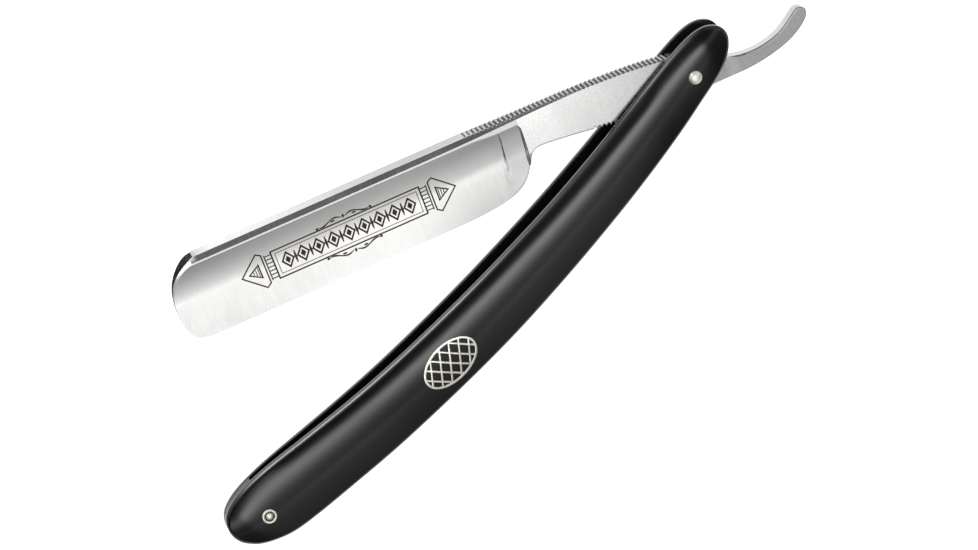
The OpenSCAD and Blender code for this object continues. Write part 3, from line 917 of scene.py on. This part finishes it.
def shift(U, v):
    """Bends the columns so that they follow the two ledges."""
    d1 = np.interp(v, [-12, -4.1, -1, 2.6, 5.0, 5.5], [-0.9, -0.68, -0.3, 0.03, -0.04, 0])
    d2 = np.interp(v, [-12, -2.3, -0.84, 1.6, 2.7, 3.79, 4.4, 5.0, 5.25, 5.5], [-0.42, -0.36, -0.14, -0.01, 0.06, 0.12, 0.0, -0.34, -0.2, 0])
    w = np.clip
    out = np.where(U < -47, 0, np.where(U < -40.7, d1 * w((U + 47) / 6.3, 0, 1), np.where(U < -36.3, d1 + (d2 - d1) * w((U + 40.7) / 4.4, 0, 1), d2 * w((-33 - U) / 3.3, 0, 1))))
    return out


def make_blade():
    # columns along the blade
    cols = list(np.arange(-96, -48.5, 0.8))
    cols += list(np.arange(-48, -47.35, 0.12))
    for c, _ in TOP_NOTCHES:
        cols += [c + d for d in (-0.475, -0.40, -0.32, -0.312, -0.28, -0.2, -0.1, 0, 0.1, 0.2, 0.28, 0.312, 0.32, 0.40)]
    cols += list(np.arange(-36.7, -35.9, 0.05)) + list(np.arange(-41.0, -40.4, 0.05))
    cols = np.array(sorted(cols))
    cols = cols[cols <= -2.8]
    keep = [0]
    for i in range(1, len(cols)):
        if cols[i] - cols[keep[-1]] > 0.0075:
            keep.append(i)
    cols = cols[keep]
    # tail columns by length along both sides
    start = cols[-1] + 0.3
    tl = top_line[top_line[:, 0] > start]
    tl = np.vstack([[start, v_top(start)], tl])
    bl = bottom_line[bottom_line[:, 0] > start]
    bl = np.vstack([[start, v_bottom(start)], bl])
    sig = np.concatenate([np.linspace(0, 0.9, 84), 0.9 + 0.1 * np.sin(np.linspace(0, math.pi / 2, 26))[1:]])
    tail_top, tail_bottom = at_length(tl, sig * along(tl)[-1]), at_length(bl, sig * along(bl)[-1])

    # per column: bottom point B, inner line of the facet I, outer line O
    lean = 0.3 * smooth((cols + 30) / 5) * smooth((-4 - cols) / 3)
    bu = cols + shift(cols, v_bottom(cols)) + lean
    B = np.stack([bu, v_bottom(bu) + notch(bu, UNDER_NOTCHES)], 1)
    O = np.stack([cols, v_top(cols) - notch(cols, TOP_NOTCHES)], 1)
    I = np.stack([cols, np.minimum(v_top(cols) - facet_width(cols), O[:, 1] - 0.04)], 1)
    chord = tail_bottom - tail_top
    cl = np.maximum(np.linalg.norm(chord, axis=1), 1e-9)
    ti = tail_top + chord / cl[:, None] * np.minimum(0.38, 0.3 * cl)[:, None]
    U = np.concatenate([cols, np.full(len(sig), start) + sig * 30])
    B, O, I = np.vstack([B, tail_bottom]), np.vstack([O, tail_top]), np.vstack([I, ti])
    n_straight = len(cols)

    # rows, as shares of the way from B to I
    def shares(k):
        length = np.linalg.norm(I[k] - B[k])
        if length < 1e-6:
            return np.linspace(0, 1, 45)
        u = B[k, 0]
        rb = float(np.interp(U[k], [-50, -38, -34, 4, 12], [0.03, 0.1, 0.32, 0.32, 0.16]))
        rb = min(rb, 0.25 * length)
        vb, vi = B[k, 1], I[k, 1]
        if U[k] < -36:
            land = float(v_land(I[k, 0]))
            fl = (land - vb) / (vi - vb)
            fm = max((-2.0 - vb) / (vi - vb), 0.36 * fl)
        else:
            fl = 1 - min(1.15, 0.25 * length) / length
            fl = fl if U[k] > -33 else (float(v_land(I[k, 0])) - vb) / (vi - vb)
            fm = 0.4 * fl
        e = rb / length
        low = [0, 0.04 * e, 0.15 * e, 0.45 * e, e]
        a = list(np.linspace(e, fm, 14)[1:])
        b = list(fm + (fl - fm) * (1 - (1 - np.linspace(0, 1, 24)[1:]) ** 1.15))
        c = list(np.linspace(fl, 1, 5)[1:])
        return np.array(low + a + b + c)

    rows = np.array([shares(k) for k in range(len(U))])  # columns x rows
    nr = rows.shape[1]
    land_row = 5 + 13 + 23 - 1
    P = B[:, None, :] + (I - B)[:, None, :] * rows[:, :, None]
    # straight columns: their inner points follow the ledges
    vs = P[:n_straight, :, 1]
    lean_in = lean[:, None] * (1 - rows[:n_straight])
    us = cols[:, None] + shift(cols[:, None], vs) + lean_in
    us[:, 0] = B[:n_straight, 0]
    P[:n_straight, :, 0] = us

    # nose: the rim's inner line, then columns spread between it and the first straight one
    K = np.array([-106.6, 5.85])
    seg = np.diff(nose_line, axis=0)
    tang = np.vstack([seg, seg[-1:]])
    tang /= np.linalg.norm(tang, axis=1)[:, None]
    inward = np.stack([-tang[:, 1], tang[:, 0]], 1)
    iK = int(np.argmin(np.linalg.norm(nose_line - K, axis=1)))
    wK = float(np.linalg.norm(nose_line[iK] - K))
    Nn = nose_line[iK:]
    wid = np.interp(Nn[:, 1], [-10.35, -10.2, -9, -3, -0.5, 1, 2.3, 4.2, 5.1, nose_line[iK, 1]], [0.0, 0.03, 0.07, 0.08, 0.12, 0.27, 0.40, 0.52, 0.62, wK])
    Ni = Nn + inward[iK:] * wid[:, None]
    Ni[0], Ni[-1] = K, Nn[-1]
    vrow = P[0, :, 1]
    order = np.argsort(Ni[:, 1])
    left_u = np.interp(vrow, Ni[order, 1], Ni[order, 0])
    left_o = np.stack([np.interp(vrow, Ni[order, 1], Nn[order, i]) for i in (0, 1)], 1)
    beta = np.linspace(0, 1, 30)[:-1] ** 1.35
    Pn = np.zeros((len(beta), nr, 2))
    for j, b in enumerate(beta):
        Pn[j, :, 0] = left_u * (1 - b) + P[0, :, 0] * b
        Pn[j, :, 1] = vrow
    PA = np.vstack([Pn, P])
    UA = np.concatenate([Pn[:, -1, 0], U])
    Z = z_face(UA[:, None], PA[..., 0], PA[..., 1])

    # rounding along the bottom
    length = np.concatenate([np.full(len(beta), np.linalg.norm(I[0] - B[0])), np.linalg.norm(I - B, axis=1)])
    share = np.vstack([np.tile(rows[0], (len(beta), 1)), rows])
    dist = share * length[:, None]
    rb = np.interp(UA, [-50, -38, -34, 4, 12], [0.0, 0.1, 0.32, 0.32, 0.16])
    rb = np.minimum(rb, 0.25 * np.maximum(length, 1e-6))[:, None]

    def round_off(z, d, r):
        amp = np.minimum(r, 0.6 * z)
        t = np.clip(1 - d / np.maximum(r, 1e-6), 0, 1)
        return z - amp * (1 - np.sqrt(np.maximum(1 - t * t, 0)))

    Z = round_off(Z, dist, rb)

    # strip from the inner line to the outline: top side, then round the nose
    cols_n = Pn[1:, -1, 0]
    Ostrip = np.vstack([np.stack([cols_n, v_top(cols_n)], 1), O])
    Istrip = PA[1:, -1, :]
    Ok = np.array([Pn[0, -1, 0], v_top(Pn[0, -1, 0])])
    Ostrip = np.vstack([[Ok], Ostrip])
    Istrip = np.vstack([[PA[0, -1, :]], Istrip])
    Ustrip = np.concatenate([[Pn[0, -1, 0]], cols_n, U])
    fr = np.array([0.0, 0.35, 0.7, 0.9, 0.96, 1.0])
    S = Istrip[:, None, :] + (Ostrip - Istrip)[:, None, :] * fr[None, :, None]
    nominal = np.concatenate([v_top(S[: len(beta) + n_straight, 0, 0]) - facet_width(S[: len(beta) + n_straight, 0, 0]), np.zeros(len(sig))])
    zi = Z[:, -1]
    ZS = np.zeros(S.shape[:2])
    ns = len(beta) + n_straight
    ZS[:ns] = zi[:ns, None] - 0.43 * np.maximum(0, S[:ns, :, 1] - np.minimum(nominal[:ns], 5.85 + 9 * (S[:ns, 0, 0] > -56))[:, None])
    dt = np.linalg.norm(S - Ostrip[:, None, :], axis=2)
    ZS[ns:] = zi[ns:, None] - 0.25 * np.linalg.norm(S[ns:] - Istrip[ns:, None, :], axis=2)
    ZS = round_off(ZS, dt, np.full((len(ZS), 1), 0.05))
    ZS[:, 0] = zi
    # nose part, from the top down, matched to the rows of the left column
    rowsN = np.arange(nr)[::-1]
    On, In, Zn = left_o[rowsN], PA[0, rowsN, :], Z[0, rowsN]
    SN = In[:, None, :] + (On - In)[:, None, :] * fr[None, :, None]
    wn = np.linalg.norm(SN - In[:, None, :], axis=2)
    ZN = Zn[:, None] - 0.17 * wn
    ZN = np.maximum(ZN, 0.05)
    dn = np.linalg.norm(SN - On[:, None, :], axis=2)
    ZN = round_off(ZN, dn, np.minimum(0.05, 0.5 * wn[:, -1:] + 1e-6))
    ZN[:, 0] = Zn

    # end of the tail: rounded by the true distance to the outline
    def true_round(pts, z, r):
        flat = pts.reshape(-1, 2)
        sel = np.where(flat[:, 0] > 12)[0]
        a = outline[:-1]
        b = outline[1:]
        near = (a[:, 0] > 9)
        a, b = a[near], b[near]
        q = flat[sel]
        ab = b - a
        t = np.clip(((q[:, None] - a[None]) * ab[None]).sum(2) / np.maximum((ab ** 2).sum(1), 1e-12)[None], 0, 1)
        dd = np.linalg.norm(q[:, None] - (a[None] + ab[None] * t[..., None]), axis=2).min(1)
        zz = z.reshape(-1).copy()
        zz[sel] = 1.4 - r * (1 - np.sqrt(np.maximum(1 - np.clip(1 - dd / r, 0, 1) ** 2, 0)))
        return zz.reshape(z.shape)

    Z = true_round(PA, Z, 0.16)
    ZS = true_round(S, ZS, 0.16)
    w_tail = np.linalg.norm(S[ns:, -1] - S[ns:, 0], axis=1)[:, None] * smooth((S[ns:, 0, 0] - 11.0) / 2.0)[:, None]
    ZS[ns:] -= w_tail * (0.16 * np.minimum(fr, 0.35) + 0.42 * np.maximum(0, fr - 0.35))[None]

    # assemble front, back and the wall between them
    def block(pts, z):
        return to_part(pts[..., 0], pts[..., 1], z)

    verts, faces, base = [], [], 0

    def add_grid(grid, flip):
        nonlocal base
        r, c = grid.shape[:2]
        idx = np.arange(r * c).reshape(r, c) + base
        verts.append(grid.reshape(-1, 3))
        faces.extend(grid_faces(idx, flip=flip))
        base += r * c
        return idx

    for sign in (1, -1):
        add_grid(block(PA, Z * sign), sign > 0)
        add_grid(block(S, ZS * sign), sign > 0)
        add_grid(block(SN, ZN * sign), sign < 0)
    # the fan between the last top column and the first nose row closes at K
    fan = np.stack([S[0], SN[0]], 0)
    zfan = np.stack([ZS[0], ZN[0]], 0)
    for sign in (1, -1):
        add_grid(block(fan, zfan * sign), sign < 0)
    # wall round the outline
    ring = np.vstack([S[::-1, -1], SN[:, -1], PA[:, 0][1:]])
    zr = np.concatenate([ZS[::-1, -1], ZN[:, -1], Z[1:, 0]])
    wall = np.stack([block(ring, zr * f) for f in (1.0, 0.5, 0.0, -0.5, -1.0)], 0)
    add_grid(wall, False)
    return np.concatenate(verts), faces


blade_verts, blade_faces = make_blade()
bm = to_mesh("blade", blade_verts, blade_faces, 0.0005)


def uv_of(co):
    x, y = co[0] / MM - PIVOT[0], co[1] / MM - PIVOT[1]
    return x * CA - y * SA, x * SA + y * CA


def in_shoulder(e):
    u, v = uv_of((e.verts[0].co + e.verts[1].co) / 2)
    if -42.5 < u < -35.0 and v < 4.9:
        return all(abs(f.normal.z) > 0.05 for f in e.link_faces) and e.calc_face_angle(0.0) < math.radians(70)
    return False


blade = new_object("blade", bm, 60)
boolean(blade, [cylinder(0, 0, -4, 4, 1.05)])
bm = bmesh.new()
bm.from_mesh(blade.data)
bmesh.ops.recalc_face_normals(bm, faces=bm.faces)
for f in bm.faces:
    f.smooth = True
    u, v = uv_of(f.calc_center_median())
    n = f.normal
    across = -(n.x * CA - n.y * SA)  # how far the face looks towards the nose
    f.material_index = 7 if u > 2.5 else 1 if u > -36.35 else 0
    if abs(n.z) < 0.35:
        f.material_index = 2
        # painted shade: the nose wall takes the dark nose steel
        if u < -105.8 and v > -4.5:
            f.material_index = 6
        # painted shade: the walls of the notches in the jimps, above and below, take the dark notch steel
        if -48 < u < -2.4 and 2.5 < v < float(v_top(u)) - 0.035:
            f.material_index = 3
        if -22.6 < u < -9 and float(v_bottom(u)) + 0.05 < v < 1:
            f.material_index = 3
    # painted shade: ledge faces turned to the nose take the darker ledge steel
    elif -42.6 < u < -34.6 and v < 5.0 and across > 0.2:
        f.material_index = 4
    # painted shade: the strip along the tail's top edge takes the darker ledge steel too
    elif u > 9.5 and abs(n.z) < 0.965 and np.min(np.linalg.norm(top_line - (u, v), axis=1)) < 0.32:
        f.material_index = 4
    # painted reflection brightness: the facet band takes the facet steel
    elif u < -10 and v > float(v_top(u)) - facet_width(u) + 0.02 and v > 5.83:
        f.material_index = 5
for e in bm.edges:
    e.smooth = not (len(e.link_faces) == 2 and e.calc_face_angle(0.0) > math.radians(14) and not in_shoulder(e))
bm.to_mesh(blade.data)
bm.free()
finish_piece(blade, "blade", [STEEL_HOLLOW, STEEL_SATIN_SHADED, STEEL_WALL, STEEL_NOTCH_SHADE, STEEL_LEDGE, STEEL_FACET, STEEL_NOSE, STEEL_TAIL], ["blade"])


# ---------------------------------------------------------------- etched border on the blade: plain ruled lines, no lettering
def make_etching():
    parts = []
    lift, depth = 0.008, 0.03

    def surface(p, h):
        return to_part(p[..., 0], p[..., 1], z_hollow(p[..., 0], p[..., 1]) + h)

    def ribbon(points, width, closed=False):
        p = np.asarray(points, float)
        if closed:
            p = np.vstack([p, p[:1]])
        l = along(p)
        n = max(int(l[-1] / 0.3), 2)
        # keep corners: resample every leg on its own
        q = [p[0]]
        for i in range(len(p) - 1):
            m = max(int(np.ceil((l[i + 1] - l[i]) / 0.35)), 1)
            q += [p[i] + (p[i + 1] - p[i]) * k / m for k in range(1, m + 1)]
        q = np.array(q)
        w = np.broadcast_to(np.asarray(width, float), (len(q),)) if np.ndim(width) == 0 else np.interp(along(q) / along(q)[-1], np.linspace(0, 1, len(width)), width)
        if closed:
            q = q[:-1]
            w = w[:-1]
            d0, d1 = q - np.roll(q, 1, 0), np.roll(q, -1, 0) - q
        else:
            d0, d1 = np.vstack([q[1:2] - q[:1], q[1:] - q[:-1]]), np.vstack([q[1:] - q[:-1], q[-1:] - q[-2:-1]])
        d0 /= np.linalg.norm(d0, axis=1)[:, None]
        d1 /= np.linalg.norm(d1, axis=1)[:, None]
        t = d0 + d1
        t /= np.maximum(np.linalg.norm(t, axis=1), 1e-6)[:, None]
        nrm = np.stack([-t[:, 1], t[:, 0]], 1)
        miter = 1 / np.clip((nrm * np.stack([-d0[:, 1], d0[:, 0]], 1)).sum(1), 0.45, 1)
        off = nrm * (w / 2 * miter)[:, None]
        rows = [surface(q - off, -depth), surface(q - off, lift * 0.4), surface(q - off * 0.8, lift), surface(q + off * 0.8, lift), surface(q + off, lift * 0.4), surface(q + off, -depth)]
        n, m = len(rows), len(q)
        idx = np.arange(n * m).reshape(n, m)
        f = [list(x) for x in grid_faces(idx, wrap_rows=True, wrap_cols=closed)]
        if not closed:
            f += [list(idx[:, 0]), list(idx[::-1, -1])]
        parts.append((np.concatenate(rows), f))

    def blob(points):
        """A small filled shape."""
        p = np.asarray(points, float)
        q = []
        for i in range(len(p)):
            a, b = p[i], p[(i + 1) % len(p)]
            m = max(int(np.ceil(np.linalg.norm(b - a) / 0.3)), 1)
            q += [a + (b - a) * k / m for k in range(m)]
        q = np.array(q)
        c = q.mean(0)
        rows = [np.repeat(c[None], len(q), 0)] + [c + (q - c) * f for f in (0.5, 0.93)] + [q, q, np.repeat(c[None], len(q), 0)]
        hs = [lift, lift, lift, lift * 0.4, -depth, -depth]
        rows = [surface(r, h) for r, h in zip(rows, hs)]
        idx = np.arange(len(rows) * len(q)).reshape(len(rows), len(q))
        parts.append((np.concatenate(rows), grid_faces(idx, wrap_cols=True)))

    c = (-75.35, -2.0)
    x0, x1, y0, y1 = -91.4, -59.3, -4.95, 1.1

    def loz(x, y, a, b):
        return [[x - a, y], [x, y + b], [x + a, y], [x, y - b]]

    ribbon([[x0, y0], [x1, y0], [x1, y1], [x0, y1]], 0.32, True)
    ribbon([[x0 + 0.75, y0 + 0.75], [x1 - 0.75, y0 + 0.75], [x1 - 0.75, y1 - 0.75], [x0 + 0.75, y1 - 0.75]], 0.15, True)
    # a row of lozenges with bars between them
    for k in range(-4, 5):
        x = c[0] + 3.3 * k
        ribbon(loz(x, c[1] + 0.07, 1.2, 1.6), 0.38, True)
        blob(loz(x, c[1] + 0.07, 0.6, 0.85))
        if k < 4:
            ribbon([[x + 1.65, c[1] - 1.3], [x + 1.65, c[1] + 1.45]], [0.2, 0.56, 0.2])
    # hatched bands and pointed ends
    for s, xe in ((-1, x0), (1, x1)):
        for k in range(7):
            y = y0 + 0.55 + k * (y1 - y0 - 1.1) / 6
            ribbon([[xe, y], [xe + s * 1.3, y]], 0.24)
        xb = xe + s * 1.45
        ribbon([[xb, y0 + 0.2], [xb, y1 - 0.2]], 0.26)
        ribbon([[xb + s * 0.55, y0 - 0.1], [xb + s * 1.5, y0 - 0.75], [xb + s * 5.6, c[1] + 0.07], [xb + s * 1.5, y1 + 0.75], [xb + s * 0.55, y1 + 0.1]], 0.3, True)
        ribbon([[xb + s * 1.7, c[1] - 1.35], [xb + s * 4.0, c[1] + 0.07], [xb + s * 1.7, c[1] + 1.5]], 0.3, True)
        for k in range(3):
            xx = xb + s * (2.05 + 0.5 * k)
            h = 0.95 - 0.3 * k
            ribbon([[xx, c[1] + 0.07 - h], [xx, c[1] + 0.07 + h]], 0.2)
    # small leaf sprays over and under the middle
    for sy, yb in ((1, y1), (-1, y0)):
        for sx in (-1, 1):
            t = np.linspace(0, 1, 26)
            curve = np.stack([c[0] + sx * (0.35 + 5.2 * t), yb + sy * (0.75 + 0.55 * np.sin(t * 5.4) * (1 - 0.25 * t))], 1)
            ribbon(curve, [0.16, 0.38, 0.24, 0.38, 0.14])
            blob([[c[0] + sx * 5.75 + 0.28 * math.cos(a), yb + sy * 0.42 + 0.28 * math.sin(a)] for a in np.linspace(0, 2 * math.pi, 14, endpoint=False)])
            blob([[c[0] + sx * 2.3 + 0.5 * math.cos(a), yb + sy * 0.72 + 0.2 * math.sin(a)] for a in np.linspace(0, 2 * math.pi, 14, endpoint=False)])
        blob(loz(c[0], yb + sy * 0.95, 0.3, 0.55))
    v, f = join_parts(parts)
    o = new_object("blade_etching", to_mesh("blade_etching", v, f, 0), 40)
    return finish_piece(o, "blade", [INK])


make_etching()

# ---------------------------------------------------------------- camera, floor, light
camera = bpy.data.objects.new("camera", bpy.data.cameras.new("camera"))
bpy.context.scene.collection.objects.link(camera)
camera.data.lens = 135.0
camera.data.sensor_width = 36.0
camera.data.clip_start = 0.01
camera.data.clip_end = 50.0
right, up, back = (0.69272, -0.68090, 0.23771), (0.72055, 0.63944, -0.26819), (0.03061, 0.35706, 0.93358)
place = (np.array([-34.444, 263.587, 687.265]) + PIVOT) * MM
turn = Matrix(((right[0], up[0], back[0]), (right[1], up[1], back[1]), (right[2], up[2], back[2])))
camera.matrix_world = Matrix.Translation(Vector(place)) @ turn.to_quaternion().to_matrix().to_4x4()
bpy.context.scene.camera = camera


def make_floor():
    bm = bmesh.new()
    bmesh.ops.create_grid(bm, x_segments=8, y_segments=8, size=4.0)
    mesh = bpy.data.meshes.new("floor")
    bm.to_mesh(mesh)
    bm.free()
    o = bpy.data.objects.new("floor", mesh)
    bpy.context.scene.collection.objects.link(o)
    o.location = (0, 0, -0.00002)
    n = Nodes("floor_paper")
    cloud = n.noise(n.co, 9.0, 2.0, 0.5)
    n.into(n.mix(n.range(cloud, 0.3, 0.7, 0, 1), (0.50, 0.50, 0.50), (0.52, 0.52, 0.52)), "Base Color")
    n.set(Roughness=0.9, Emission_Color=(1, 1, 1, 1), Emission_Strength=0.95)
    o.data.materials.append(n.m)


make_floor()


def make_world():
    w = bpy.data.worlds.new("studio")
    bpy.context.scene.world = w
    w.use_nodes = True
    t = w.node_tree
    t.nodes.clear()
    out = t.nodes.new("ShaderNodeOutputWorld")
    bg = t.nodes.new("ShaderNodeBackground")
    co = t.nodes.new("ShaderNodeTexCoord")
    sep = t.nodes.new("ShaderNodeSeparateXYZ")
    t.links.new(co.outputs["Generated"], sep.inputs[0])

    def node(kind, values=(), links=(), **kw):
        n = t.nodes.new(kind)
        for k, v in kw.items():
            setattr(n, k, v)
        for k, v in values:
            n.inputs[k].default_value = v
        for k, v in links:
            t.links.new(v, n.inputs[k])
        return n.outputs[0]

    def ramp(fac, stops, mode):
        n = t.nodes.new("ShaderNodeValToRGB")
        n.color_ramp.interpolation = mode
        els = n.color_ramp.elements
        while len(els) > 1:
            els.remove(els[0])
        for i, (a, e) in enumerate(stops):
            el = els[0] if i == 0 else els.new(a)
            el.position = a
            el.color = (e, e, e, 1)
        t.links.new(fac, n.inputs[0])
        return n.outputs[0]

    # brightness round the long axis of the room: a soft box over the handle, a pale wall on one side, a dark one on the other
    angle = node("ShaderNodeMath", links=((0, sep.outputs[1]), (1, sep.outputs[2])), operation="ARCTAN2")
    share = node("ShaderNodeMapRange", ((1, -math.pi / 2), (2, math.pi / 2), (3, 0.0), (4, 1.0)), ((0, angle),))
    stops = [((a + 90) / 180, e / 8) for a, e in SKY]
    round_it = ramp(share, stops, "LINEAR")
    # and along it: it falls off a little past the tail
    side = node("ShaderNodeMapRange", ((1, -1.0), (2, 1.0), (3, 0.0), (4, 1.0)), ((0, sep.outputs[0]),))
    along_it = ramp(side, [((x + 1) / 2, e) for x, e in SIDE], "EASE")
    both = node("ShaderNodeMix", ((0, 1.0),), ((6, round_it), (7, along_it)), data_type="RGBA", blend_type="MULTIPLY")
    # Mix has one output per data type; the colour one is the third
    both = both.node.outputs[2]
    t.links.new(both, bg.inputs[0])
    bg.inputs[1].default_value = 8.0
    t.links.new(bg.outputs[0], out.inputs[0])


SKY = [(-90, 0.55), (-60, 0.50), (-52, 0.55), (-45, 0.67), (-39, 0.77), (-34, 0.90), (-30, 1.12), (-28.5, 1.25), (-27, 1.38), (-25.5, 1.38), (-24.2, 1.16), (-23, 1.02), (-21, 0.97),
       (-17.5, 1.12), (-14.5, 1.45), (-11.5, 2.1), (-8.5, 3.3), (-5.5, 5.1), (-2.8, 6.9), (-0.4, 7.2), (1.6, 6.0), (3.2, 2.9), (4.6, 0.8),
       (6.2, 0.17), (9, 0.08), (13.5, 0.14), (18.5, 0.84), (30, 0.92), (40, 1.2), (55, 1.9), (75, 1.8), (90, 1.2)]  # degrees from straight up, and brightness
SIDE = [(-1.0, 0.04), (-0.82, 0.05), (-0.74, 0.4), (-0.5, 0.35), (-0.38, 0.4), (-0.27, 0.9), (-0.14, 0.9), (-0.11, 0.5), (-0.09, 0.78), (-0.07, 1.0), (0.06, 1.0), (0.09, 0.85), (0.13, 0.3), (0.18, 0.1), (0.5, 0.1), (0.7, 0.4), (1.0, 0.6)]
make_world()
bpy.context.scene.view_settings.view_transform = "Standard"
